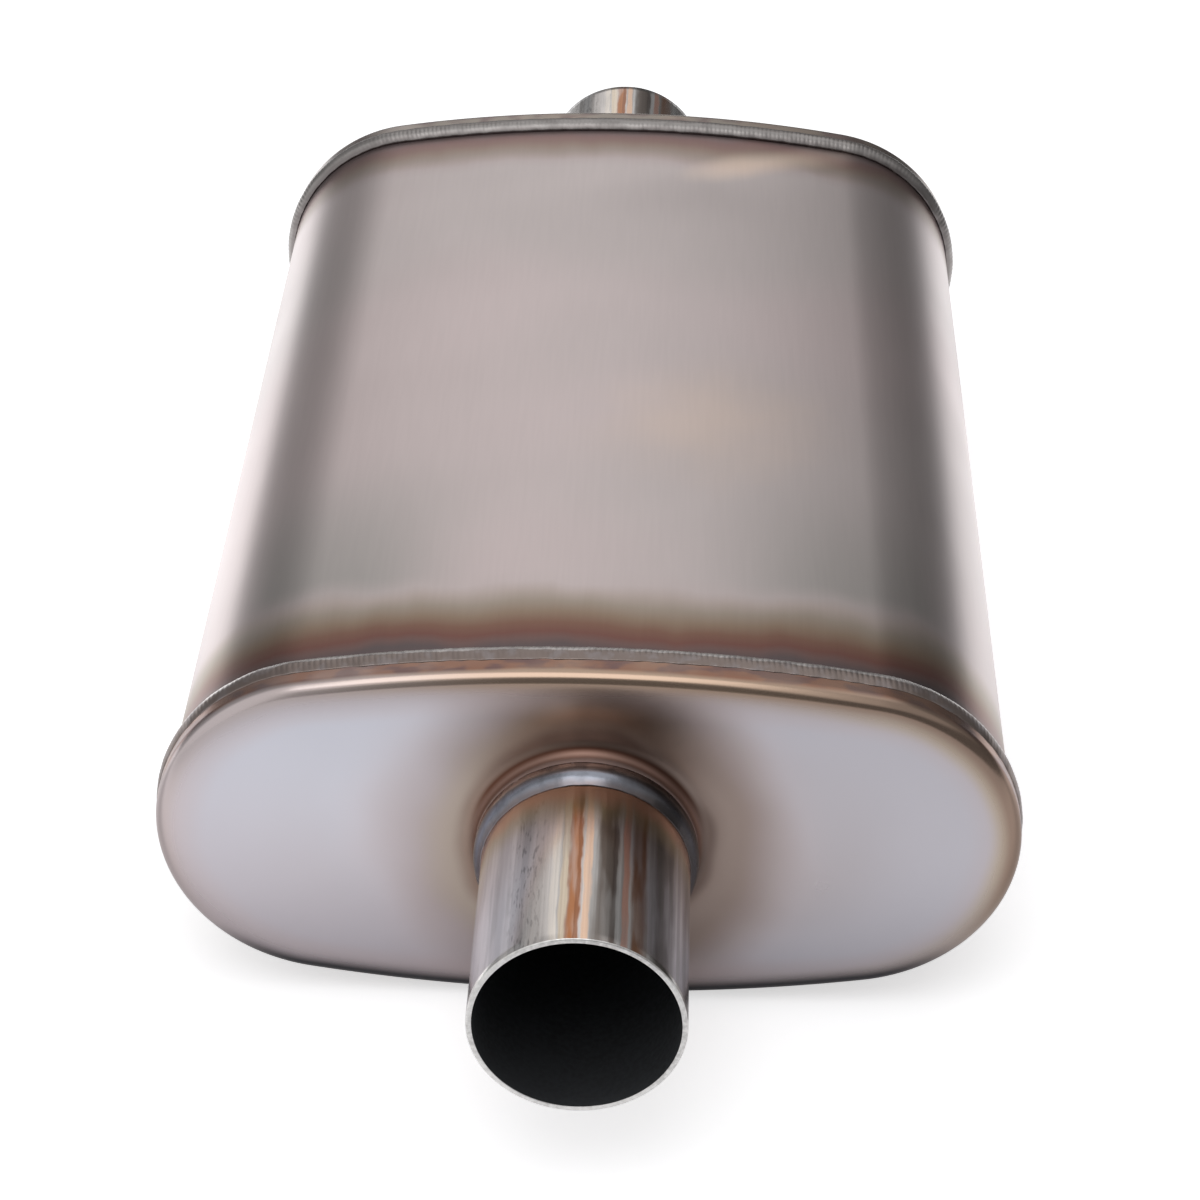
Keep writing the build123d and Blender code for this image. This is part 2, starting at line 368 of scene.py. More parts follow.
def steel_bench(name: str) -> tuple[bpy.types.Material, Bench, bpy.types.Node]:
    """Start a bare metal.

    Returns:
        The material, its bench and its shader.
    """
    material = bpy.data.materials.new(name)
    bench = Bench(material)
    shader = bench.tree.nodes["Principled BSDF"]
    shader.inputs["Metallic"].default_value = 1.0
    return material, bench, shader


@dataclass(frozen=True)
class SatinSheet:
    """Rolled stainless sheet of the shell, heat-tinted beside the rim welds, with a painted highlight on the
    dent's flank.
    """

    face: float
    mauve: Colour = paint(196, 182, 181)
    cool: Colour = paint(186, 178, 176)
    cool_lumps: Lumps = (8.0, 1.0)
    cool_noise: Fade = (0.35, 0.65, 0.0, 0.6)
    warm: Colour = paint(208, 188, 176)
    warm_spot: Triple = (0.033, -0.036, 0.05)
    warm_reach: Fade = (0.062, 0.015, 0.0, 0.6)
    warm_lumps: Lumps = (40.0, 2.0)
    warm_uneven: float = 0.03
    corner: Colour = paint(166, 160, 157)         # broad patches on both sides of the inlet's end
    corner_inner: Fade = (0.025, 0.07)
    corner_outer: Fade = (0.102, 0.09)
    corner_along: Fade = (-0.05, -0.13)
    toes: tuple[float, float] = (17.0, 13.9)      # inlet's and outlet's weld toes, in mm behind the face
    reaches: tuple[float, float] = (33.0, 24.0)   # how far each tint runs on from there
    tints: tuple[tuple[float, Colour], ...] = (
        (0.0, paint(94, 82, 82)),
        (0.10, paint(110, 86, 82)),
        (0.20, paint(115, 78, 70)),
        (0.34, paint(124, 92, 78)),
        (0.50, paint(140, 120, 103)),
        (0.68, paint(156, 143, 131)),
        (0.85, paint(178, 164, 158)),
        (1.0, paint(190, 177, 175)),
    )
    tint_end: Fade = (0.8, 1.25)
    tint_uneven: float = 15.0                     # mm
    blotch: Triple = (36, 16, 36)
    blotch_detail: float = 2.5
    pale: Colour = paint(166, 148, 148)           # over the outlet's tint
    pale_share: float = 0.3
    # painted highlight: a pale beige patch on the dent's flank, where it catches the light
    painted_dent_highlight: Colour = paint(232, 208, 190)
    highlight_middle: tuple[float, float] = (0.049, 0.148)
    highlight_reach: tuple[float, float] = (0.027, 0.0075)
    highlight_turn: float = 27.0                        # degrees from X
    highlight_edge: Fade = (1.5, 0.1, 0.0, 0.6)
    highlight_uneven: float = 1.2
    highlight_up: Fade = (0.0, 0.02)
    grain: Triple = (800, 40, 800)
    grain_detail: float = 1.0
    grain_share: float = 0.035
    grain_tones: tuple[tuple[float, Colour], ...] = ((0.3, paint(150, 150, 150)), (0.7, WHITE))
    rough_lumps: Lumps = (20.0, 1.0)
    rough: Fade = (*NOISE, 0.28, 0.31)
    relief: Relief = (0.02, 0.1 * MM)

    def make(self) -> bpy.types.Material:
        """Mix the sheet's tones by broad clouds, then lay the tint over its ends and the painted highlight on
        the dent's flank.
        """
        material, bench, shader = steel_bench("satin_sheet")
        place = bench.place()
        across, along, _ = bench.split(place)
        cool = bench.fade(bench.cloud(place, *self.cool_lumps), *self.cool_noise)
        tone = bench.mix(cool, self.mauve, self.cool)
        spot = bench.node("CombineXYZ", dict(enumerate(self.warm_spot))).outputs[0]
        away = bench.node("VectorMath", {0: place, 1: spot}, operation="DISTANCE").outputs[1]
        away = bench.plus(away, bench.times(bench.cloud(place, *self.warm_lumps), self.warm_uneven))
        tone = bench.mix(bench.fade(away, *self.warm_reach), tone, self.warm)
        apart = bench.size(across)
        side = bench.times(bench.fade(apart, *self.corner_inner), bench.fade(apart, *self.corner_outer))
        side = bench.times(side, bench.fade(along, *self.corner_along))
        tone = bench.mix(side, tone, self.corner)

        outlet = bench.fade(along, *HALVES)
        toe = bench.plus(self.toes[0], bench.times(outlet, self.toes[1] - self.toes[0]))
        run = bench.plus(self.reaches[0], bench.times(outlet, self.reaches[1] - self.reaches[0]))
        blotch = bench.streaky(place, self.blotch, self.blotch_detail)
        depth = bench.plus(bench.from_face(self.face, along), bench.swing(blotch, self.tint_uneven))
        reach = bench.math("DIVIDE", bench.less(depth, toe), run)
        tint = bench.mix(bench.times(outlet, self.pale_share), bench.ramp(reach, self.tints), self.pale)
        colour = bench.mix(bench.fade(reach, *self.tint_end), tint, tone)
        # painted highlight on the dent's flank
        colour = bench.mix(self.painted_highlight_mask(bench, place, blotch), colour, self.painted_dent_highlight)

        grain = bench.streaky(place, self.grain, self.grain_detail)
        colour = bench.mix(self.grain_share, colour, bench.ramp(grain, self.grain_tones), "MULTIPLY")
        rough = bench.fade(bench.cloud(place, *self.rough_lumps), *self.rough)
        bench.finish(shader, colour, rough, bench.relief(grain, *self.relief))
        return material

    def painted_highlight_mask(self, bench: Bench, place: Socket, blotch: Socket) -> Socket:
        """Give the mask of the painted highlight on the dent's flank, an uneven ellipse on the top."""
        middle = (*self.highlight_middle, 0.0)
        inputs = {"Vector": place, "Center": middle, "Angle": -math.radians(self.highlight_turn)}
        turned = bench.node("VectorRotate", inputs, rotation_type="Z_AXIS").outputs[0]
        shifted = bench.node("VectorMath", {0: turned, 1: middle}, operation="SUBTRACT").outputs[0]
        scaled = bench.stretch(shifted, (1 / self.highlight_reach[0], 1 / self.highlight_reach[1], 0.0))
        away = bench.plus(bench.length(scaled), bench.swing(blotch, self.highlight_uneven))
        upper = bench.fade(bench.split(place)[2], *self.highlight_up)
        return bench.times(bench.fade(away, *self.highlight_edge), upper)


@dataclass(frozen=True)
class PressedPlate:
    """Pressed stainless plate of the end caps, tinted round the collar, the bend and the skirt, with painted
    shade round the collar, on the right side and along the bottom.

    Rings are in millimetres from the axis, depths in millimetres behind the flat face, insets in
    millimetres from the rim, and the other fades in metres across or up.
    """

    face: float
    lumps: Lumps = (30.0, 1.0)
    uneven: float = 12.0                          # of the rings, in mm
    uneven_inset: float = 0.3                     # how much of that the insets and the edges take
    uneven_edge: float = 0.12
    lilac: Colour = paint(207, 207, 216)
    mauve: Colour = paint(201, 195, 201)
    mauve_below: Fade = (0.01, -0.06)
    mauve_lean: float = 0.3
    # painted shade: the plate's tone darker towards its right side
    shade: Colour = paint(198, 195, 202)
    painted_shade_across: Fade = (-0.01, 0.06)
    pink: Colour = paint(202, 184, 182)
    pink_ring: Fade = (72.0, 46.0, 0.0, 0.45)
    pink_inset: Fade = (16.0, 6.0, 0.0, 0.4)
    straw: Colour = paint(198, 182, 158)
    straw_ring: Fade = (50.0, 38.0, 0.0, 0.65)
    straw_inset: Fade = (10.0, 5.0, 0.0, 0.75)
    brown: Colour = paint(140, 108, 88)
    brown_ring: Fade = (39.0, 33.0, 0.0, 0.85)
    # heat tint round the collar together with painted shade of the neck, stronger to the right
    halo_tint_and_shade: Colour = paint(148, 132, 125)
    halo_ring: Fade = (64.0, 42.0)
    halo_across: Fade = (-0.01, 0.03, 0.45, 0.92)
    # painted shade and reflection of the neck over some heat tint
    tint_and_neck_shade: Colour = paint(98, 82, 75)            # above the collar and round its root
    neck_shade_up: Fade = (0.012, 0.03)
    neck_shade_across: Fade = (0.05, 0.008)
    neck_shade_share: float = 0.6
    root_shade_ring: Fade = (37.0, 33.5, 0.0, 0.65)
    root_shade_across: Fade = (-0.025, 0.012)
    tan: Colour = paint(172, 149, 131)            # of the bend
    tan_depth: Fade = (0.0, 0.7)
    tan_across: Fade = (-0.11, 0.0, 0.3, 1.0)
    tan_up: Fade = (-0.045, -0.005, 0.15, 1.0)
    worn: Colour = paint(156, 134, 120)           # of the bend's right side
    right_across: Fade = (0.03, 0.10)
    right_up: Fade = (-0.045, 0.0, 0.3, 1.0)
    # painted shade: the bend near black along the bottom
    under: Colour = paint(72, 71, 74)
    bottom_shade_up: Fade = (-0.03, -0.046)
    copper: Colour = paint(140, 104, 88)          # of the inlet's skirt
    grey_brown: Colour = paint(140, 131, 122)     # of the outlet's skirt
    skirt_depth: Fade = (2.6, 4.2)
    skirt_lumps: Lumps = (60.0, 2.0)
    skirt_noise: Fade = (0.35, 0.65, 0.7, 1.0)
    purple: Colour = paint(104, 84, 86)
    stain_noise: Fade = (0.42, 0.62, 0.0, 0.75)
    stains: Triple = (110, 200, 110)
    stain_detail: float = 2.5
    # painted shade in the collar's root fillet, on its upper side
    painted_root_shade: Colour = paint(170, 134, 120)
    root_depths: tuple[Fade, Fade] = ((-0.1, -0.9), (-2.6, -1.4))
    root_shade_up: Fade = (0.0, 0.02)
    collar_copper: Colour = paint(152, 122, 110)
    copper_depth: Fade = (-0.6, -2.5)
    # the collar's grey steel, painted lighter to lift the shade of the notch at the neck bead
    collar_grey: Colour = paint(238, 222, 220)
    grey_depth: Fade = (-3.0, -5.0)
    rough: Fade = (*NOISE, 0.285, 0.32)
    bend_gloss: float = 0.09
    collar_rough: Fade = (41.0, 35.0, 0.0, 0.12)
    grain: Lumps = (1200.0, 1.0)
    relief: Relief = (0.03, 0.1 * MM)

    def make(self) -> bpy.types.Material:
        """Lay the tints and the painted shade over the lilac plate by the distance from the axis, the rim and
        the face.
        """
        material, bench, shader = steel_bench("pressed_plate")
        place = bench.place()
        across, along, up = bench.split(place)
        blotch = bench.cloud(place, *self.lumps)
        wobble = bench.swing(blotch, self.uneven)
        low = bench.fade(bench.plus(up, bench.times(across, self.mauve_lean)), *self.mauve_below)
        tone = bench.mix(low, self.lilac, self.mauve)
        # painted shade towards the plate's right side
        tone = bench.mix(bench.fade(across, *self.painted_shade_across), tone, self.shade)

        flat = bench.node("CombineXYZ", {0: across, 1: 0.0, 2: up}).outputs[0]
        radius = bench.plus(bench.times(bench.length(flat), 1 / MM), wobble)
        rings = (self.pink_ring, self.pink), (self.straw_ring, self.straw), (self.brown_ring, self.brown)
        for ring, colour in rings:
            tone = bench.mix(bench.fade(radius, *ring), tone, colour)
        # heat tint and painted shade of the neck, round the collar and to its right
        halo_tint_and_shade = bench.times(bench.fade(radius, *self.halo_ring), bench.fade(across, *self.halo_across))
        tone = bench.mix(halo_tint_and_shade, tone, self.halo_tint_and_shade)
        # painted reflection of the neck: the plate darker above the collar
        over = bench.fade(bench.size(across), *self.neck_shade_across)
        over = bench.times(bench.fade(up, *self.neck_shade_up), over)
        tone = bench.mix(bench.times(over, self.neck_shade_share), tone, self.tint_and_neck_shade)
        # painted shade of the neck round the collar's root, to its right
        root = bench.times(bench.fade(radius, *self.root_shade_ring), bench.fade(across, *self.root_shade_across))
        tone = bench.mix(root, tone, self.tint_and_neck_shade)

        inset = bench.times(bench.attribute("inset"), 1 / MM)
        inset = bench.plus(inset, bench.times(wobble, self.uneven_inset))
        tone = bench.mix(bench.fade(inset, *self.pink_inset), tone, self.pink)
        right = bench.times(bench.fade(across, *self.right_across), bench.fade(up, *self.right_up))
        tone = bench.mix(bench.times(bench.fade(inset, *self.straw_inset), right), tone, self.straw)

        depth = bench.from_face(self.face, along)
        edge = bench.plus(depth, bench.times(wobble, self.uneven_edge))
        bent = bench.fade(depth, *self.tan_depth)
        warm = bench.times(bench.fade(across, *self.tan_across), bench.fade(up, *self.tan_up))
        tone = bench.mix(bench.times(bent, warm), tone, bench.mix(right, self.tan, self.worn))
        # painted shade along the bottom of the bend
        tone = bench.mix(bench.times(bent, bench.fade(up, *self.bottom_shade_up)), tone, self.under)
        skirt = bench.mix(bench.fade(along, *HALVES), self.copper, self.grey_brown)
        stains = bench.fade(bench.streaky(place, self.stains, self.stain_detail), *self.stain_noise)
        skirt = bench.mix(stains, skirt, self.purple)
        strength = bench.fade(bench.cloud(place, *self.skirt_lumps), *self.skirt_noise)
        tone = bench.mix(bench.times(bench.fade(edge, *self.skirt_depth), strength), tone, skirt)

        # painted shade in the root fillet's hollow
        starts, ends = (bench.fade(depth, *span) for span in self.root_depths)
        root_shade_mask = bench.times(bench.times(starts, ends), bench.fade(up, *self.root_shade_up))
        tone = bench.mix(root_shade_mask, tone, self.painted_root_shade, "MULTIPLY")
        tone = bench.mix(bench.fade(depth, *self.copper_depth), tone, self.collar_copper)
        # grey collar edge, painted lighter over the notch's shade
        tone = bench.mix(bench.fade(edge, *self.grey_depth), tone, self.collar_grey)

        rough = bench.less(bench.fade(blotch, *self.rough), bench.times(bent, self.bend_gloss))
        rough = bench.plus(rough, bench.fade(radius, *self.collar_rough))
        grain = bench.cloud(place, *self.grain)
        bench.finish(shader, tone, rough, bench.relief(grain, *self.relief))
        return material


@dataclass(frozen=True)
class Streak:
    """A stripe of colour that runs along a neck: a painted reflection, or a tint or seam streak."""

    middle: float      # degrees from the top, towards +X
    width: float       # degrees from side to side, at half its strength
    colour: Colour
    strength: float


@dataclass(frozen=True)
class DrawnTube:
    """Bright drawn tube of the necks, with painted reflections and tint streaks along its length, tinted
    beside the weld.
    """

    face: float
    silver: Colour = paint(216, 213, 212)
    dark: Colour = paint(162, 158, 155)
    # stripes by the angle round the tube: painted reflections of the surroundings, with tint, rust and seam
    # streaks among them
    reflections_and_streaks: tuple[Streak, ...] = (
        Streak(-66, 34, paint(250, 247, 245), 1.0),
        Streak(-41, 6, paint(246, 242, 240), 0.9),
        Streak(-31.5, 4, paint(186, 184, 184), 0.9),
        Streak(-20, 12, paint(246, 238, 234), 0.9),
        Streak(-13.5, 3.5, paint(252, 242, 232), 0.9),
        Streak(-8.5, 4, paint(222, 204, 180), 0.8),
        Streak(-3.0, 6.0, paint(176, 120, 84), 1.0),
        Streak(-1.2, 2.0, paint(148, 98, 70), 0.9),
        Streak(3.4, 3.6, paint(230, 196, 172), 1.0),
        Streak(13.5, 10, paint(112, 101, 94), 1.0),
        Streak(17.5, 2.5, paint(92, 80, 75), 0.7),
        Streak(24, 3.4, paint(214, 168, 152), 1.0),
        Streak(32, 8, paint(150, 112, 90), 1.0),
        Streak(50, 17, paint(112, 106, 100), 0.95),
        Streak(76, 18, paint(118, 108, 104), 0.85),
        Streak(140, 40, paint(150, 140, 132), 0.6),
        Streak(-130, 36, paint(140, 126, 112), 0.6),
    )
    streak_edge: tuple[float, float] = (0.75, 0.3)    # where its mask starts and is full, in widths
    waver: Triple = (60, 18, 60)
    waver_turn: float = 3.0                           # degrees
    ragged: Triple = (700, 90, 700)
    ragged_turn: float = 3.4
    patches: Triple = (260, 34, 260)
    patch_noise: Fade = (0.36, 0.56, 0.68, 1.0)
    lines: Triple = (420, 5, 420)
    line_noise: Fade = (0.38, 0.68)
    speck: Colour = paint(84, 82, 84)
    specks: Triple = (1300, 260, 1300)
    speck_noise: Fade = (0.53, 0.68)
    speck_middle: float = -30.0
    speck_reach: Fade = (15.0, 1.0, 0.0, 0.5)
    fine: Triple = (1500, 12, 1500)
    fine_share: float = 0.16
    fine_tones: tuple[tuple[float, Colour], ...] = ((0.3, paint(130, 128, 126)), (0.65, WHITE))
    straw: Colour = paint(206, 188, 146)
    straw_depth: Fade = (31.0, 19.0, 0.0, 0.5)        # mm out from the cap's face
    scorch: Colour = paint(244, 194, 168)
    scorch_depth: Fade = (23.0, 15.0, 0.0, 0.8)
    tint: Triple = (110, 30, 110)
    tint_uneven: float = 12.0                         # mm
    rough: Fade = (*NOISE, 0.17, 0.26)
    relief: Relief = (0.08, 0.1 * MM)

    def make(self) -> bpy.types.Material:
        """Paint each stripe, painted reflection or tint streak, as a soft stripe of the angle round the tube,
        then specks and the tint.
        """
        material, bench, shader = steel_bench("drawn_tube")
        place = bench.place()
        across, along, up = bench.split(place)
        angle = bench.times(bench.math("ARCTAN2", across, up), 180 / math.pi)
        angle = bench.plus(angle, bench.swing(bench.streaky(place, self.waver), self.waver_turn))
        angle = bench.plus(angle, bench.swing(bench.streaky(place, self.ragged), self.ragged_turn))
        patchy = bench.fade(bench.streaky(place, self.patches), *self.patch_noise)
        lines = bench.streaky(place, self.lines)
        colour = bench.mix(bench.fade(lines, *self.line_noise), self.silver, self.dark)
        for streak in self.reflections_and_streaks:
            offset = bench.size(bench.less(angle, streak.middle))
            start, full = (share * streak.width for share in self.streak_edge)
            mask = bench.times(bench.fade(offset, start, full, 0.0, streak.strength), patchy)
            colour = bench.mix(mask, colour, streak.colour)
        specks = bench.fade(bench.streaky(place, self.specks), *self.speck_noise)
        offset = bench.size(bench.less(angle, self.speck_middle))
        colour = bench.mix(bench.times(specks, bench.fade(offset, *self.speck_reach)), colour, self.speck)
        fine = bench.streaky(place, self.fine)
        colour = bench.mix(self.fine_share, colour, bench.ramp(fine, self.fine_tones), "MULTIPLY")

        out = bench.times(bench.from_face(self.face, along), -1.0)
        out = bench.less(out, bench.swing(bench.streaky(place, self.tint), self.tint_uneven))
        colour = bench.mix(bench.fade(out, *self.straw_depth), colour, self.straw)
        colour = bench.mix(bench.fade(out, *self.scorch_depth), colour, self.scorch)
        bench.finish(shader, colour, bench.fade(lines, *self.rough), bench.relief(fine, *self.relief))
        return material


@dataclass(frozen=True)
class WeldMetal:
    """Weld bead: a bright crest between oxide films, over slow blotches, with painted shade on its right
    side.
    """

    name: str
    lip: Colour             # where the bead begins, on the cap
    first: Colour
    crest: Colour
    last: Colour            # at its toe
    film: Colour
    roughness: float
    outlet: float = 0.0     # how far the outlet's bead is dulled
    far: Colour = paint(130, 126, 124)
    right: float = 0.0      # how far the bead is darkened by painted shade on its right side
    painted_right_shade: Colour = paint(72, 67, 66)
    right_shade_across: Fade = (0.0, 0.024)
    places: tuple[float, ...] = (0.0, 0.26, 0.4, 0.5, 0.7, 0.88)    # of the colours across the bead
    shift_lumps: Lumps = (90.0, 2.0)
    shift: float = 0.35
    film_lumps: Lumps = (240.0, 2.0)
    film_noise: Fade = (0.45, 0.68, 0.0, 0.55)
    rough_lumps: Lumps = (120.0, 1.0)
    grain: Lumps = (700.0, 1.0)
    relief: Relief = (0.05, 0.1 * MM)

    def make(self) -> bpy.types.Material:
        """Run the colours across the bead by its own attribute, which goes from 0 to 1."""
        material, bench, shader = steel_bench(self.name)
        place = bench.place()
        shift = bench.swing(bench.cloud(place, *self.shift_lumps), self.shift)
        across = bench.plus(bench.attribute("across"), shift)
        colours = (self.lip, self.lip, self.first, self.crest, self.crest, self.last)
        colour = bench.ramp(across, tuple(zip(self.places, colours)))
        film = bench.fade(bench.cloud(place, *self.film_lumps), *self.film_noise)
        colour = bench.mix(film, colour, self.film)
        right, along, _ = bench.split(place)
        colour = bench.mix(bench.fade(along, *HALVES, 0.0, self.outlet), colour, self.far)
        # painted shade on the bead's right side
        colour = bench.mix(bench.fade(right, *self.right_shade_across, 0.0, self.right), colour, self.painted_right_shade)
        rough = bench.spread(bench.cloud(place, *self.rough_lumps), self.roughness)
        bench.finish(shader, colour, rough, bench.relief(bench.cloud(place, *self.grain), *self.relief))
        return material


@dataclass(frozen=True)
class PlainSteel:
    """Bare steel in one tone, with a directional grain and faint blotches."""

    name: str
    tone: Colour
    shade: Colour
    roughness: float
    grain: Triple = (700, 700, 700)
    metallic: float = 1.0
    grain_detail: float = 3.0
    blotches: Lumps = (45.0, 2.0)
    blotch_noise: Fade = (0.3, 0.6, 0.4, 1.0)
    relief: Relief = (0.1, 0.1 * MM)

    def make(self) -> bpy.types.Material:
        """Mix the tone and its shade by grain and blotches."""
        material, bench, shader = steel_bench(self.name)
        place = bench.place()
        grain = bench.streaky(place, self.grain, self.grain_detail)
        blotch = bench.cloud(place, *self.blotches)
        mixed = bench.times(bench.fade(grain, *NOISE), bench.fade(blotch, *self.blotch_noise))
        colour = bench.mix(mixed, self.tone, self.shade)
        rough = bench.spread(grain, self.roughness)
        bench.finish(shader, colour, rough, bench.relief(grain, *self.relief))
        shader.inputs["Metallic"].default_value = self.metallic
        return material


@dataclass(frozen=True)
class Fibre:
    """Matted fibre: steel wool or glass fibre."""

    name: str
    light: Colour
    dark: Colour
    metallic: float
    strand: Triple
    strand_noise: Fade = (0.45, 0.68)
    crossing: float = 0.9    # radians between the two noises
    detail: float = 4.0
    rough: float = 0.75
    gloss: float = 0.3       # of the metal, taken from the roughness
    relief: Relief = (0.8, 1 * MM)

    def make(self) -> bpy.types.Material:
        """Cross two stretched noises into strands, with deep relief."""
        material, bench, shader = steel_bench(self.name)
        place = bench.place()
        turning = {"Vector": place, "Angle": self.crossing}
        turned = bench.node("VectorRotate", turning, rotation_type="Y_AXIS").outputs[0]
        strands = bench.math(
            "MAXIMUM",
            bench.streaky(place, self.strand, self.detail),
            bench.streaky(turned, self.strand[::-1], self.detail),
        )
        colour = bench.mix(bench.fade(strands, *self.strand_noise), self.dark, self.light)
        rough = self.rough - self.gloss * self.metallic
        bench.finish(shader, colour, rough, bench.relief(strands, *self.relief))
        shader.inputs["Metallic"].default_value = self.metallic
        return material


@dataclass(frozen=True)
class Oval:
    """The shell's outline: two tight lobes joined by two broad crowns, four tangent arcs."""

    half_width: float
    half_height: float
    crown_radius: float = 477.4 * MM

    @property
    def crown_centre(self) -> float:
        """How far each broad crown's centre lies beyond the axis."""
        return self.crown_radius - self.half_height

    @property
    def lobe_radius(self) -> float:
        """The lobes' radius, which makes them tangent to the crowns."""
        gap = self.crown_radius**2 - self.half_width**2 - self.crown_centre**2
        return gap / (2 * (self.crown_radius - self.half_width))

    @property
    def lobe_centre(self) -> float:
        """How far each lobe's centre lies from the axis."""
        return self.half_width - self.lobe_radius

    @property
    def tangent(self) -> float:
        """The outward direction's angle above X where the right lobe meets the upper crown."""
        return math.atan2(self.crown_centre, self.lobe_centre)

    @property
    def perimeter(self) -> float:
        """The distance round the outline."""
        return 4 * self.lobe_radius * self.tangent + 2 * self.crown_radius * (math.pi - 2 * self.tangent)

    def around(self, share: np.ndarray, growth: np.ndarray | float) -> np.ndarray:
        """Give x and z round the outline, moved outwards by growth.

        The outward direction starts straight down and turns anticlockwise by distance over radius
        on each arc. A point is its arc's centre plus (radius + growth) times that direction.

        Args:
            share: of the way round, 0 to 1, from the middle of the underside.
            growth: outwards from the shell's outer surface.
        """
        lobe, crown, turn = self.lobe_radius, self.crown_radius, self.tangent
        corners = np.array([-math.pi / 2, -turn, turn, math.pi - turn, math.pi + turn, 1.5 * math.pi])
        radii = np.array([crown, lobe, crown, lobe, crown])
        lengths = np.concatenate([[0], np.cumsum(radii * np.diff(corners))])
        angle = np.interp(share * lengths[-1], lengths, corners)
        arc = np.clip(np.searchsorted(corners, angle, side="right") - 1, 0, len(radii) - 1)
        low, beside = (0, self.crown_centre), (self.lobe_centre, 0)
        centres = np.array([low, beside, (0, -self.crown_centre), (-self.lobe_centre, 0), low])
        away = np.stack([np.cos(angle), np.sin(angle)], axis=-1)
        return centres[arc] + (radii[arc] + growth)[..., None] * away


@dataclass(frozen=True)
class Case:
    """The sizes that the pieces share, most of them read from the frame."""

    oval: Oval
    face: float                   # from the middle to a cap's flat face
    shell_end: float
    neck_radius: float
    neck_end: float
    neck_root: float
    cap_wall: float = 2.0 * MM
    skirt_growth: float = 2.1 * MM
    skirt_depth: float = 9.0 * MM
    collar_radius: float = 30.675 * MM
    collar_depth: float = -9.0 * MM

    @classmethod
    def from_frame(cls) -> "Case":
        """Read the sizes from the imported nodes' boxes."""
        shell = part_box("outer_shell")[1]
        neck_low, neck_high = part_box("inlet_neck")
        cap_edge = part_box("inlet_end_cap")[1].y
        return cls(
            oval=Oval(shell.x, shell.z),
            face=cls.skirt_depth - cap_edge,
            shell_end=shell.y,
            neck_radius=neck_high.x,
            neck_end=-neck_low.y,
            neck_root=-neck_high.y,
        )


@dataclass(frozen=True)
class RolledShell:
    """The case's sheet, rolled to the oval, with its long edges a gap apart on the underside."""

    case: Case
    wall: float = 1.2 * MM
    seam_gap: float = 1.0 * MM
    around: int = 380
    along: int = 112
    wave_depth: float = 0.22 * MM
    dent_middle: tuple[float, float] = (26 * MM, 137 * MM)
    dent_lengths: tuple[float, float] = (50 * MM, 28 * MM)    # before its middle and after
    dent_widths: tuple[float, float] = (26 * MM, 14 * MM)
    dent_turn: float = 27.0       # degrees from X
    dent_depth: float = 1.1 * MM

    def sink(self, x: np.ndarray, y: np.ndarray, z: np.ndarray) -> np.ndarray:
        """Give how far the sheet lies inside its true form.

        Slow waves of the rolled sheet, gone at both welds, plus one dent in the top by the outlet:
        its depth times exp(-(u / length)^2 - (v / width)^2) along and across its own line.
        """
        waves = np.sin(31 * x + 1.3) * np.sin(19 * y + 0.4) + 0.6 * np.sin(57 * x - 23 * y + 2.0)
        free = np.clip((self.case.shell_end - np.abs(y)) / (40 * MM), 0, 1)
        sunk = self.wave_depth * (0.5 + 0.3 * waves) * free * (3 - 2 * free) * free
        turn = math.radians(self.dent_turn)
        dx, dy = x - self.dent_middle[0], y - self.dent_middle[1]
        u = dx * math.cos(turn) + dy * math.sin(turn)
        v = dy * math.cos(turn) - dx * math.sin(turn)
        u = u / np.where(u < 0, *self.dent_lengths)
        v = v / np.where(v < 0, *self.dent_widths)
        return sunk + np.where(z > 0, self.dent_depth * np.exp(-u * u - v * v), 0)

    def build(self, finish: bpy.types.Material) -> bpy.types.Object:
        """Carry the oval along Y and close the sheet at its edges."""
        edge = self.seam_gap / 2 / self.case.oval.perimeter
        share = np.linspace(edge, 1 - edge, self.around)
        y = np.linspace(-self.case.shell_end, self.case.shell_end, self.along)
        outline = self.case.oval.around(share, np.zeros(self.around))
        sunk = self.sink(outline[None, :, 0], y[:, None], outline[None, :, 1])
        skins = []
        for depth in (0.0, self.wall):
            growth = -sunk - depth
            xz = self.case.oval.around(np.broadcast_to(share, growth.shape), growth)
            along = np.broadcast_to(y[:, None], growth.shape)
            skins.append(np.stack([xz[..., 0], along, xz[..., 1]], axis=-1))
        points = np.concatenate([skins[0], skins[1][:, ::-1]], axis=1)
        piece = make_piece("shell_sheet", points, bar_quads(self.along, 2 * self.around), [finish])
        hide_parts("outer_shell")
        return piece


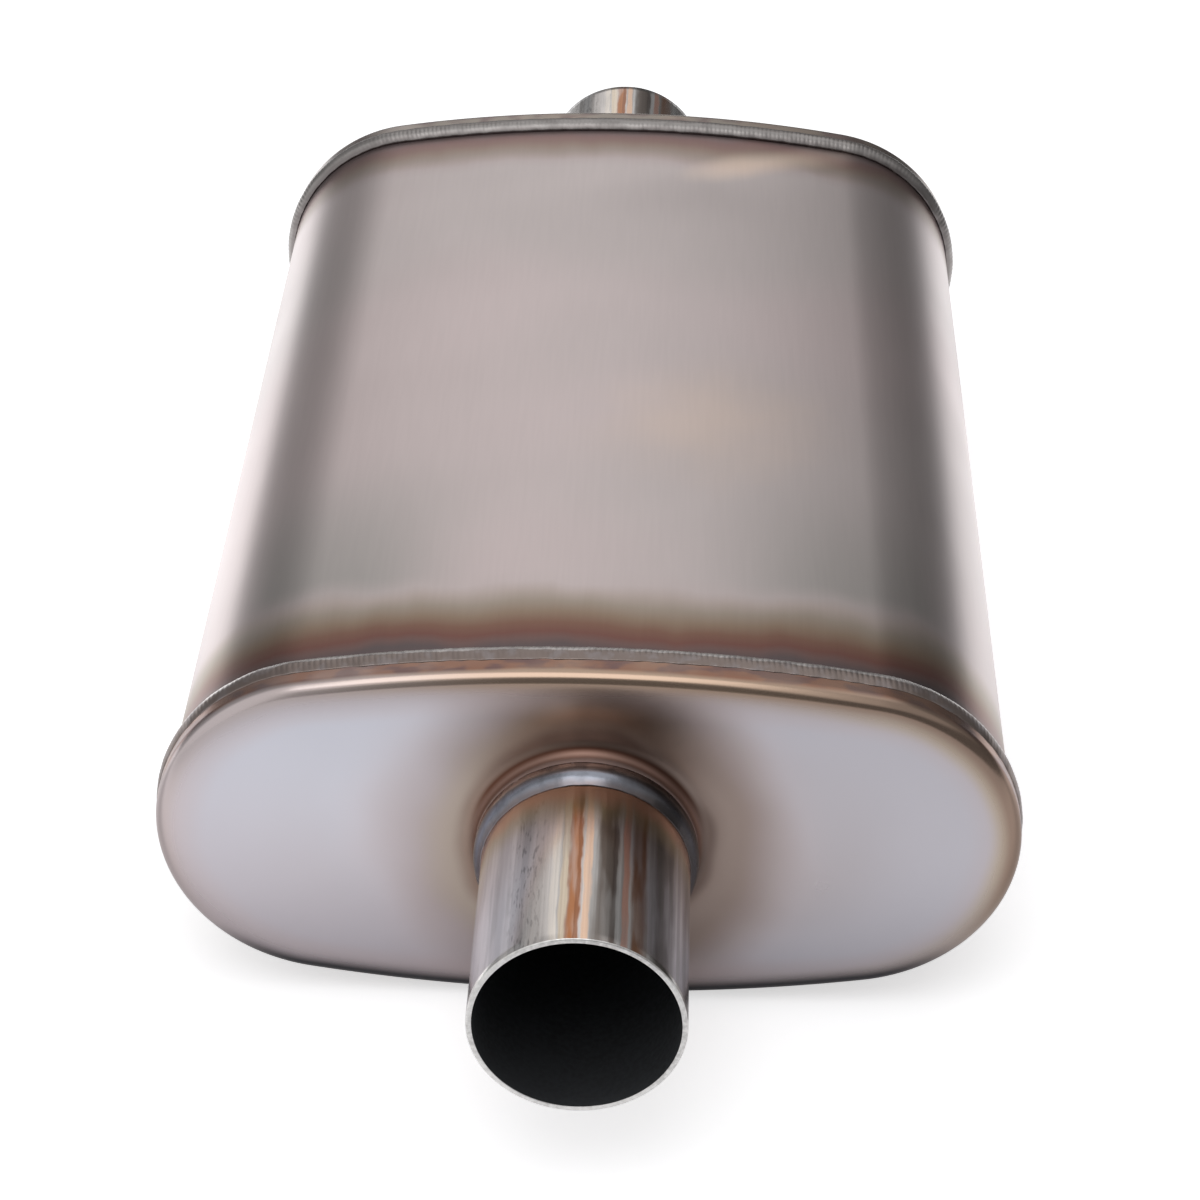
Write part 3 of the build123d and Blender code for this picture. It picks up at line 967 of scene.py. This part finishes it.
@dataclass(frozen=True)
class EndCap:
    """A pressed cap: flat plate, slight fall, tight bend and skirt, and a collar drawn outwards."""

    case: Case
    side: Side
    crown_radius: float = 40 * MM
    crown_angle: float = 10.0
    bend_radius: float = 4 * MM
    root_radius: float = 4 * MM
    edge_radius: float = 0.25 * MM
    around: int = 600
    plate_rows: int = 22
    wave_depth: float = 0.25 * MM

    def profile(self) -> tuple[np.ndarray, np.ndarray, np.ndarray]:
        """Give the closed section's reach, depth and share of the way from collar to rim.

        Where the share is 0 the reach is a radius round the axis, where it is 1 it is growth from
        the shell's oval, and between them the plate runs straight from one to the other.
        """
        case, wall = self.case, self.case.cap_wall
        fall = self.crown_angle - 90
        slope, between = math.radians(self.crown_angle), self.crown_radius - self.bend_radius
        inward = between * math.sin(slope) + self.bend_radius
        bend_depth = self.crown_radius - between * math.cos(slope)
        start = case.skirt_growth - inward
        corner = (case.skirt_growth - self.bend_radius, bend_depth)
        root = (case.collar_radius + self.root_radius, -self.root_radius)
        edge = self.edge_radius
        lip = case.collar_depth + edge
        collar_out = np.concatenate([
            bend((case.collar_radius - wall + edge, lip), edge, 180, 270, 4),
            bend((case.collar_radius - edge, lip), edge, 270, 360, 4),
            straight((case.collar_radius, lip + edge), (case.collar_radius, root[1] - edge), 8),
            bend(root, self.root_radius, 180, 90, 12),
        ])
        rim_out = np.concatenate([
            bend((start, self.crown_radius), self.crown_radius, -90, fall, 6),
            bend(corner, self.bend_radius, fall, 0, 14)[1:],
            straight((case.skirt_growth, bend_depth + edge), (case.skirt_growth, case.skirt_depth - edge), 6),
            bend((case.skirt_growth - edge, case.skirt_depth - edge), edge, 0, 90, 3)[1:],
        ])
        rim_in = np.concatenate([
            bend((case.skirt_growth - wall + edge, case.skirt_depth - edge), edge, 90, 180, 3),
            bend(corner, self.bend_radius - wall, 0, fall, 6),
            bend((start, self.crown_radius), self.crown_radius - wall, fall, -90, 4)[1:],
        ])
        collar_in = np.concatenate([
            bend(root, self.root_radius + wall, 90, 180, 8),
            straight((case.collar_radius - wall, root[1] - edge), (case.collar_radius - wall, lip + edge), 4),
        ])
        plate = np.zeros((self.plate_rows, 2))
        sections = (collar_out, plate, rim_out, rim_in, plate + (0, wall), collar_in)
        across = np.linspace(0, 1, self.plate_rows + 2)[1:-1]
        rims = np.ones(len(rim_out) + len(rim_in))
        shares = (np.zeros(len(collar_out)), across, rims, across[::-1], np.zeros(len(collar_in)))
        section = np.concatenate(sections)
        return section[:, 0], section[:, 1], np.concatenate(shares)

    def build(self, finish: bpy.types.Material) -> bpy.types.Object:
        """Carry the section round the oval and store how far each point lies in from the rim."""
        case = self.case
        reach, depth, share = self.profile()
        plate = (share > 0) & (share < 1)
        start = reach[share == 1].min()
        radius = np.where(plate, case.collar_radius + self.root_radius, reach)
        growth = np.where(plate, start, np.where(share == 1, reach, start))
        turn = np.arange(self.around) / self.around
        grid = np.broadcast_to(turn[:, None], (self.around, len(reach)))
        rim = case.oval.around(grid, np.broadcast_to(growth, grid.shape))
        edge = case.oval.around(turn, np.full(self.around, start))
        polar = np.arctan2(edge[:, 1], edge[:, 0])
        ring = radius[None, :, None] * np.stack([np.cos(polar), np.sin(polar)], axis=-1)[:, None, :]
        xz = ring * (1 - share)[None, :, None] + rim * share[None, :, None]
        window = np.sin(math.pi * share) ** 2
        x, z = xz[..., 0], xz[..., 1]
        waves = np.sin(38 * x + 0.7 * self.side.value) + np.sin(61 * z + 1.9) + np.sin(45 * (x + z) + 0.6)
        sunk = self.wave_depth * (0.5 + 0.16 * waves) * window
        y = self.side.value * (case.face - depth[None, :] - sunk)
        points = np.stack([x, y, z], axis=-1)
        name = f"{self.side.word}_cap_plate"
        piece = make_piece(name, points, ring_quads(*points.shape[:2]), [finish])
        inset = np.where(share == 1, case.skirt_growth - growth, 0)[None, :]
        gap = np.linalg.norm(xz - edge[:, None, :], axis=-1) + case.skirt_growth - start
        inset = np.where(share[None, :] == 1, inset, gap)
        store(piece, "inset", inset)
        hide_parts(f"{self.side.word}_end_cap")
        return piece


@dataclass(frozen=True)
class Bead:
    """The section of a weld bead and how its ripples cut into it."""

    start: tuple[float, float]    # reach and depth of the edge where the bead begins
    toe: tuple[float, float]      # and where it ends
    hidden: tuple[tuple[float, float], ...]   # corners of its underside, from the toe back
    rise: float                   # of the crest over the line between those edges
    pitch: float = 1.5 * MM       # from one ripple to the next
    ripple: float = 0.04          # depth of a ripple as a share of the rise
    arch: float = 2.6             # how far a ripple's middle runs ahead, in radians
    swell: float = 1.0            # above 1 the crest runs out to its edges without a corner
    stray: float = 0.07           # how far the edges wander, as a share of the width
    uneven: float = 0.10          # how much of the rise comes and goes slowly
    across: int = 16

    def dress(self, piece: bpy.types.Object, steps: int) -> None:
        """Store how far across the bead each point lies, 0 to 1, for the finish."""
        share = np.concatenate([np.linspace(0, 1, self.across), np.linspace(1, 0, len(self.hidden))])
        store(piece, "across", np.tile(share, steps))

    def section(self, share: np.ndarray, length: float, seed: int) -> np.ndarray:
        """Give the bead's closed section at each place along it.

        A point is start + (toe - start) t + n rise (4 t (1 - t))^swell, where n is square to that
        line and outwards. Ripples and slow unevenness only take from the rise.

        Args:
            share: of the way along, 0 to 1.
            length: of the whole bead.
            seed: of its unevenness.

        Returns:
            Reach and depth, one row for each share and one column for each point of the section.
        """
        start, toe = np.array(self.start), np.array(self.toe)
        t = np.linspace(0, 1, self.across)[None, :, None]
        along = share[:, None, None]
        ripples = round(length / self.pitch)
        first = self.stray * wander(share, round(length / (26 * MM)), 9, seed)[:, None, None]
        last = 1 - self.stray * wander(share, round(length / (19 * MM)), 9, seed + 1)[:, None, None]
        place = first + (last - first) * t
        line = toe - start
        outward = np.array([line[1], -line[0]]) / np.linalg.norm(line)
        if outward[0] < 0:
            outward = -outward
        phase = math.tau * ripples * along + self.arch * (2 * t - 1) ** 2
        phase = phase + 2.5 * wander(share, round(length / (15 * MM)), 11, seed + 2)[:, None, None]
        groove = (0.5 + 0.5 * np.cos(phase)) ** 2
        uneven = self.uneven * wander(share, round(length / (35 * MM)), 8, seed + 3)[:, None, None]
        rise = self.rise * (1 - self.ripple * groove - uneven)
        top = start + line * place + outward * rise * (4 * t * (1 - t)) ** self.swell
        under = np.broadcast_to(np.array(self.hidden), (len(share), len(self.hidden), 2))
        return np.concatenate([top, under], axis=1)


@dataclass(frozen=True)
class RimBead:
    """The lap weld that joins a cap's skirt to the shell."""

    case: Case
    side: Side
    steps: int = 2400
    lap: float = 1.6 * MM
    legs: tuple[float, float] = (8.0 * MM, 4.9 * MM)   # of the inlet's bead and the outlet's
    rise: float = 1.76 * MM
    seed: int = 40

    def build(self, finish: bpy.types.Material) -> bpy.types.Object:
        """Carry the bead round the oval."""
        case = self.case
        leg = self.legs[0 if self.side is Side.INLET else 1]
        bead = Bead(
            start=(case.skirt_growth, case.skirt_depth - self.lap),
            toe=(0.0, case.skirt_depth + leg),
            hidden=((0.0, case.skirt_depth), (case.skirt_growth, case.skirt_depth)),
            rise=self.rise,
        )
        turn = np.arange(self.steps) / self.steps
        section = bead.section(turn, case.oval.perimeter, self.seed + self.side.value)
        grid = np.broadcast_to(turn[:, None], section.shape[:2])
        xz = case.oval.around(grid, section[..., 0])
        y = self.side.value * (case.face - section[..., 1])
        points = np.stack([xz[..., 0], y, xz[..., 1]], axis=-1)
        piece = make_piece(f"{self.side.word}_rim_bead", points, ring_quads(*points.shape[:2]), [finish])
        bead.dress(piece, self.steps)
        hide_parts(f"{self.side.word}_rim_weld")
        return piece


@dataclass(frozen=True)
class NeckBead:
    """The fillet weld between a collar's lip and its neck."""

    case: Case
    side: Side
    steps: int = 900
    lap: float = 4.0 * MM
    leg: float = 4.3 * MM
    rise: float = 1.2 * MM
    edge_rise: float = 0.05 * MM    # of the edge where it begins, over the collar
    seed: int = 60

    def build(self, finish: bpy.types.Material) -> bpy.types.Object:
        """Carry the bead round the neck."""
        case = self.case
        bead = Bead(
            start=(case.collar_radius + self.edge_rise, case.collar_depth + self.lap),
            toe=(case.neck_radius, case.collar_depth - self.leg),
            hidden=((case.neck_radius, case.collar_depth), (case.collar_radius, case.collar_depth)),
            rise=self.rise,
            ripple=0.006,
            swell=1.5,
            stray=0.03,
            uneven=0.08,
            pitch=1.7 * MM,
        )
        turn = np.arange(self.steps) / self.steps
        section = bead.section(turn, math.tau * case.collar_radius, self.seed + self.side.value)
        angle = math.tau * turn[:, None]
        y = self.side.value * (case.face - section[..., 1])
        points = np.stack([section[..., 0] * np.cos(angle), y, section[..., 0] * np.sin(angle)], axis=-1)
        piece = make_piece(f"{self.side.word}_neck_bead", points, ring_quads(*points.shape[:2]), [finish])
        bead.dress(piece, self.steps)
        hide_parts(f"{self.side.word}_neck_weld")
        return piece


@dataclass(frozen=True)
class SeamBead:
    """The weld that fills the sheet's gap along the underside."""

    case: Case
    width: float = 5.0 * MM
    rise: float = 0.6 * MM
    gap: float = 1.0 * MM
    wall: float = 1.2 * MM
    end_room: float = 0.4 * MM
    rim_weld_end: float = 13.9 * MM
    steps: int = 900
    seed: int = 80

    def build(self, finish: bpy.types.Material) -> bpy.types.Object:
        """Carry the bead along Y, low side down."""
        case = self.case
        half = case.face - self.rim_weld_end - self.end_room
        bead = Bead(
            start=(0.0, -self.width / 2),
            toe=(0.0, self.width / 2),
            hidden=((-self.wall, self.gap / 2), (-self.wall, -self.gap / 2)),
            rise=self.rise,
            ripple=0.12,
        )
        share = np.linspace(0, 1, self.steps)
        section = bead.section(share, 2 * half, self.seed)
        y = np.broadcast_to((2 * share[:, None] - 1) * half, section.shape[:2])
        points = np.stack([section[..., 1], y, -case.oval.half_height - section[..., 0]], axis=-1)
        piece = make_piece("seam_bead", points, bar_quads(*points.shape[:2]), [finish])
        bead.dress(piece, self.steps)
        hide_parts("shell_seam_weld")
        return piece


@dataclass(frozen=True)
class Neck:
    """A neck of drawn tube with a sawn end and a bore painted black as shade."""

    case: Case
    side: Side
    wall: float = 1.5 * MM
    chamfer: float = 0.3 * MM
    inner_edge: float = 0.15 * MM
    around: int = 256
    seam_depth: float = 0.05 * MM
    seam_width: float = 4.0       # degrees

    def build(self, finishes: Sequence[bpy.types.Material]) -> bpy.types.Object:
        """Turn the tube's section round Y, its ground seam line sunk a little at the top.

        The section is the outer wall, the chamfer, the sawn face, the bore and the hidden end.

        Args:
            finishes: of the outside, the sawn edge and the bore.
        """
        outer, end, root = self.case.neck_radius, self.case.neck_end, self.case.neck_root
        inner = outer - self.wall
        outside_rows = straight((outer, root), (outer, end - self.chamfer), 40)
        cut_rows = np.concatenate([
            straight((outer, end - self.chamfer), (outer - self.chamfer, end), 3)[1:],
            straight((outer - self.chamfer, end), (inner + self.inner_edge, end), 5)[1:],
            bend((inner + self.inner_edge, end - self.inner_edge), self.inner_edge, 90, 180, 4)[1:],
        ])
        bore_rows = straight((inner, end - self.inner_edge), (inner, root), 24)[1:]
        section = np.concatenate([outside_rows, cut_rows, bore_rows])
        angle = math.tau * np.arange(self.around) / self.around
        top = np.degrees(np.abs(np.angle(np.exp(1j * (angle - math.pi / 2)))))
        seam = self.seam_depth * np.exp(-((top / self.seam_width) ** 2))
        on_outside = np.arange(len(section)) < len(outside_rows)
        radius = section[None, :, 0] - seam[:, None] * on_outside[None, :]
        y = np.broadcast_to(self.side.value * section[None, :, 1], radius.shape)
        points = np.stack([radius * np.cos(angle)[:, None], y, radius * np.sin(angle)[:, None]], axis=-1)
        last_outside, last_cut = len(outside_rows) - 1, len(outside_rows) + len(cut_rows) - 1
        row = np.arange(len(section))
        finish = np.where(row < last_outside, 0, np.where(row < last_cut, 1, 2))
        finish = np.tile(finish, self.around)
        name = f"{self.side.word}_neck_tube"
        piece = make_piece(name, points, ring_quads(*points.shape[:2]), finishes, finish)
        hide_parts(f"{self.side.word}_neck")
        return piece


@dataclass(frozen=True)
class Inside:
    """The pieces inside the case, which keep their packed forms."""

    nodes: dict[str, bpy.types.Object]

    def dress(self) -> None:
        """Give each inner node its finish."""
        # strip steel in a dark tone, which also serves as painted shade inside the case
        strip = PlainSteel("mill_strip", paint(96, 94, 92), paint(66, 64, 62), 0.42, (60, 900, 60)).make()
        plug = PlainSteel("plug_weld", paint(120, 116, 114), paint(80, 76, 78), 0.3).make()
        wool = Fibre("steel_wool", paint(120, 120, 122), paint(30, 30, 32), 1.0, (900, 160, 900)).make()
        glass = Fibre("glass_fibre", paint(236, 228, 204), paint(196, 184, 156), 0.0, (420, 90, 420)).make()
        finishes = {
            "slotted_core": strip,
            "wool_bands": strip,
            "core_plug_welds": plug,
            "steel_wool_sleeve": wool,
            "packing_blanket": glass,
            "right_packing": glass,
            "left_packing": glass,
        }
        for name, finish in finishes.items():
            mesh = self.nodes[name].data
            mesh.materials.clear()
            mesh.materials.append(finish)
            LOG.info("%s: %s", name, finish.name)


@dataclass(frozen=True)
class Viewpoint:
    """Where the photograph was taken from."""

    azimuth: float = 1.44         # degrees from straight down +Y, towards +X
    elevation: float = 32.83
    roll: float = 0.59
    distance: float = 1.0829
    aside: float = -0.00198
    above: float = -0.03096
    focal_pixels: float = 3382.7

    def place(self) -> None:
        """Set the camera: back from the middle by the distance, then aside and up in its own plane."""
        turn, rise, tilt = (math.radians(angle) for angle in (self.azimuth, self.elevation, self.roll))
        back = Vector((math.sin(turn) * math.cos(rise), -math.cos(turn) * math.cos(rise), math.sin(rise)))
        level = (-back).cross(Vector((0, 0, 1))).normalized()
        upright = level.cross(-back)
        right = math.cos(tilt) * level + math.sin(tilt) * upright
        up = -math.sin(tilt) * level + math.cos(tilt) * upright
        lens = bpy.data.cameras.new("camera")
        lens.sensor_width = SENSOR_WIDTH
        lens.lens = self.focal_pixels / IMAGE_SIDE * SENSOR_WIDTH
        camera = put("camera", lens)
        where = back * self.distance + right * self.aside + up * self.above
        camera.matrix_world = Matrix.Translation(where) @ Matrix((right, up, back)).transposed().to_4x4()
        bpy.context.scene.camera = camera


@dataclass(frozen=True)
class Studio:
    """Plain pale sweep, soft overhead light and a dim ring of room above the sweep's edge.

    The floor's fades run in metres, and the world's by the direction's own x, y or z.
    """

    floor_height: float
    floor_half: float = 1.5
    floor_colour: Colour = paint(234, 234, 236)
    floor_roughness: float = 0.9
    camera_lift: float = 0.58                    # keeps the floor white to the camera, its shadow faint
    front_lift: float = 0.39                     # what metal sees added to the floor in front
    front_along: Fade = (-0.185, -0.255)
    front_end: Fade = (-0.27, -0.37, 1.0, 0.3)
    front_across: Fade = (0.15, -0.1, 0.68, 1.05)
    rear_lift: float = 0.95                      # and behind
    rear_along: Fade = (-0.22, 0.1)
    rear_away: Fade = (0.45, 1.3, 1.0, 0.0)
    rear_lean: float = 0.35
    rear_across: Fade = (0.08, 0.3, 1.0, 0.72)
    close_along: Fade = (0.12, 0.2)              # the dimmer place under the outlet's end
    close_across: Fade = (0.2, 0.12)
    close_level: float = 0.5
    front_half: Fade = (0.15, -0.15)
    rings: Fade = (-0.4, 0.4, 0.33, 0.16)        # the dim ring's levels behind, left and right
    front_rings: Fade = (-0.5, -0.06, 0.85, 0.2)
    front_lower: Fade = (0.03, 0.3, 0.46, 0.24)  # how much higher the front's bright part starts
    rise: Fade = (0.12, 0.34)
    wall_lean: tuple[float, float] = (0.45, 0.8)
    wall_right: Fade = (-0.03, 0.33, 1.0, 0.28)
    wall_left: Fade = (-0.5, -0.14, 0.4, 1.0)
    ceiling_left: Fade = (-0.75, -0.25, 0.4, 1.0)
    ceiling_right: Fade = (0.05, 0.4, 1.0, 0.55)
    below: Fade = (-0.03, -0.10, 0.0, 0.7)
    overhead_power: float = 2.9
    overhead_size: float = 0.9
    overhead_place: Triple = (-0.15, -0.75, 1.35)

    def build(self) -> None:
        """Make the floor, the world and the overhead light."""
        self.lay_floor()
        self.light_world()
        self.hang_light()

    def lay_floor(self) -> None:
        """Lay the floor. The camera sees it white but for the shadow, and metal sees it brighter behind."""
        half = self.floor_half
        corners = [(-half, -half), (half, -half), (half, half), (-half, half)]
        mesh = bpy.data.meshes.new("floor")
        mesh.from_pydata([(x, y, self.floor_height) for x, y in corners], [], [(0, 1, 2, 3)])
        material = bpy.data.materials.new("floor")
        bench = Bench(material)
        shader = bench.tree.nodes["Principled BSDF"]
        shader.inputs["Base Color"].default_value = self.floor_colour
        shader.inputs["Roughness"].default_value = self.floor_roughness
        shader.inputs["Specular IOR Level"].default_value = 0.0
        shader.inputs["Emission Color"].default_value = WHITE
        rays = bench.node("LightPath", {}).outputs
        place = bench.place()
        across, along, _ = bench.split(place)
        front = bench.times(bench.fade(along, *self.front_along), bench.fade(across, *self.front_across))
        front = bench.times(front, bench.fade(along, *self.front_end))
        away = bench.plus(bench.length(place), bench.times(across, self.rear_lean))
        rear = bench.times(bench.fade(along, *self.rear_along), bench.fade(away, *self.rear_away))
        rear = bench.times(rear, bench.fade(across, *self.rear_across))
        close = bench.fade(bench.size(across), *self.close_across)
        close = bench.times(bench.fade(along, *self.close_along), close)
        rear = bench.times(rear, bench.fade(close, 0.0, 1.0, 1.0, self.close_level))
        lift = bench.plus(bench.times(front, self.front_lift), bench.times(rear, self.rear_lift))
        seen = bench.times(rays["Is Camera Ray"], self.camera_lift)
        mirrored = bench.math("MAXIMUM", rays["Is Glossy Ray"], rays["Is Transmission Ray"])
        bench.feed(shader.inputs["Emission Strength"], bench.plus(seen, bench.times(mirrored, lift)))
        mesh.materials.append(material)
        put("floor", mesh)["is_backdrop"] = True

    def light_world(self) -> None:
        """Light from all round, by the direction's x, y and z.

        A dim ring stands above the horizon. Behind, a pale wall rises from it, full to the left of
        the middle and soft-edged at both sides. In front a brighter ceiling starts higher up. The
        camera sees plain white in every direction.
        """
        world = bpy.data.worlds.new("studio")
        bpy.context.scene.world = world
        bench = Bench(world)
        x, y, z = bench.split(bench.node("TexCoord", {}).outputs["Generated"])
        front = bench.fade(y, *self.front_half)
        rear = bench.less(1.0, front)
        dim = bench.times(rear, bench.fade(x, *self.rings))
        dim = bench.plus(dim, bench.times(front, bench.fade(x, *self.front_rings)))
        lower = bench.times(front, bench.fade(bench.size(x), *self.front_lower))
        rise = bench.fade(bench.less(z, lower), *self.rise)
        middle, slant = self.wall_lean
        lean = bench.less(x, bench.times(bench.less(z, middle), slant))
        wall = bench.times(bench.fade(lean, *self.wall_right), bench.fade(x, *self.wall_left))
        ceiling = bench.times(bench.fade(x, *self.ceiling_left), bench.fade(x, *self.ceiling_right))
        bright = bench.plus(bench.times(wall, rear), bench.times(ceiling, front))
        level = bench.math("MAXIMUM", dim, bench.times(rise, bright))
        level = bench.math("MAXIMUM", level, bench.fade(z, *self.below))
        grey = bench.node("CombineColor", {0: level, 1: level, 2: level}).outputs[0]
        camera = bench.node("LightPath", {}).outputs["Is Camera Ray"]
        bench.feed(bench.tree.nodes["Background"].inputs["Color"], bench.mix(camera, grey, WHITE))

    def hang_light(self) -> None:
        """Hang one large soft light over the object, a little to the left and in front."""
        lamp = bpy.data.lights.new("overhead", "AREA")
        lamp.shape = "SQUARE"
        lamp.size = self.overhead_size
        lamp.energy = self.overhead_power
        light = put("overhead", lamp)
        where = Vector(self.overhead_place)
        light.matrix_world = Matrix.Translation(where) @ where.to_track_quat("Z", "Y").to_matrix().to_4x4()


def main() -> None:
    """Build the muffler's pieces in order, then the studio and the camera."""
    logging.basicConfig(level=logging.INFO, format="%(name)s: %(message)s")
    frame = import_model()
    packed = [list(corner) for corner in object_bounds()]
    case = Case.from_frame()

    sheet = SatinSheet(case.face).make()
    plate = PressedPlate(case.face).make()
    tube = DrawnTube(case.face).make()
    cut = PlainSteel("sawn_edge", paint(236, 234, 232), paint(200, 198, 196), 0.34).make()
    # the bore painted near black: painted shade inside the tube
    bore_shade = PlainSteel("painted_shade_bore", paint(46, 48, 51), paint(36, 37, 39), 0.6, metallic=0.0).make()
    rim_metal = WeldMetal(
        "rim_weld_metal",
        lip=paint(130, 118, 113),
        first=paint(130, 118, 113),
        crest=paint(216, 211, 209),
        last=paint(126, 114, 116),
        film=paint(146, 139, 140),
        roughness=0.34,
        outlet=0.8,
    ).make()
    neck_metal = WeldMetal(
        "neck_weld_metal",
        # the lip's colour painted light to lift the shade of the notch against the collar
        lip=paint(246, 230, 226),
        first=paint(150, 147, 152),
        crest=paint(144, 147, 157),
        last=paint(130, 122, 124),
        film=paint(114, 115, 122),
        roughness=0.24,
        # painted shade on the neck bead's right side
        right=0.85,
    ).make()

    RolledShell(case).build(sheet)
    SeamBead(case).build(rim_metal)
    for side in Side:
        EndCap(case, side).build(plate)
        RimBead(case, side).build(rim_metal)
        Neck(case, side).build((tube, cut, bore_shade))
        NeckBead(case, side).build(neck_metal)
    Inside(frame["nodes"]).dress()

    Studio(floor_height=packed[0][2]).build()
    Viewpoint().place()
    bpy.context.scene.view_settings.view_transform = "Standard"


if __name__ == "__main__":
    main()
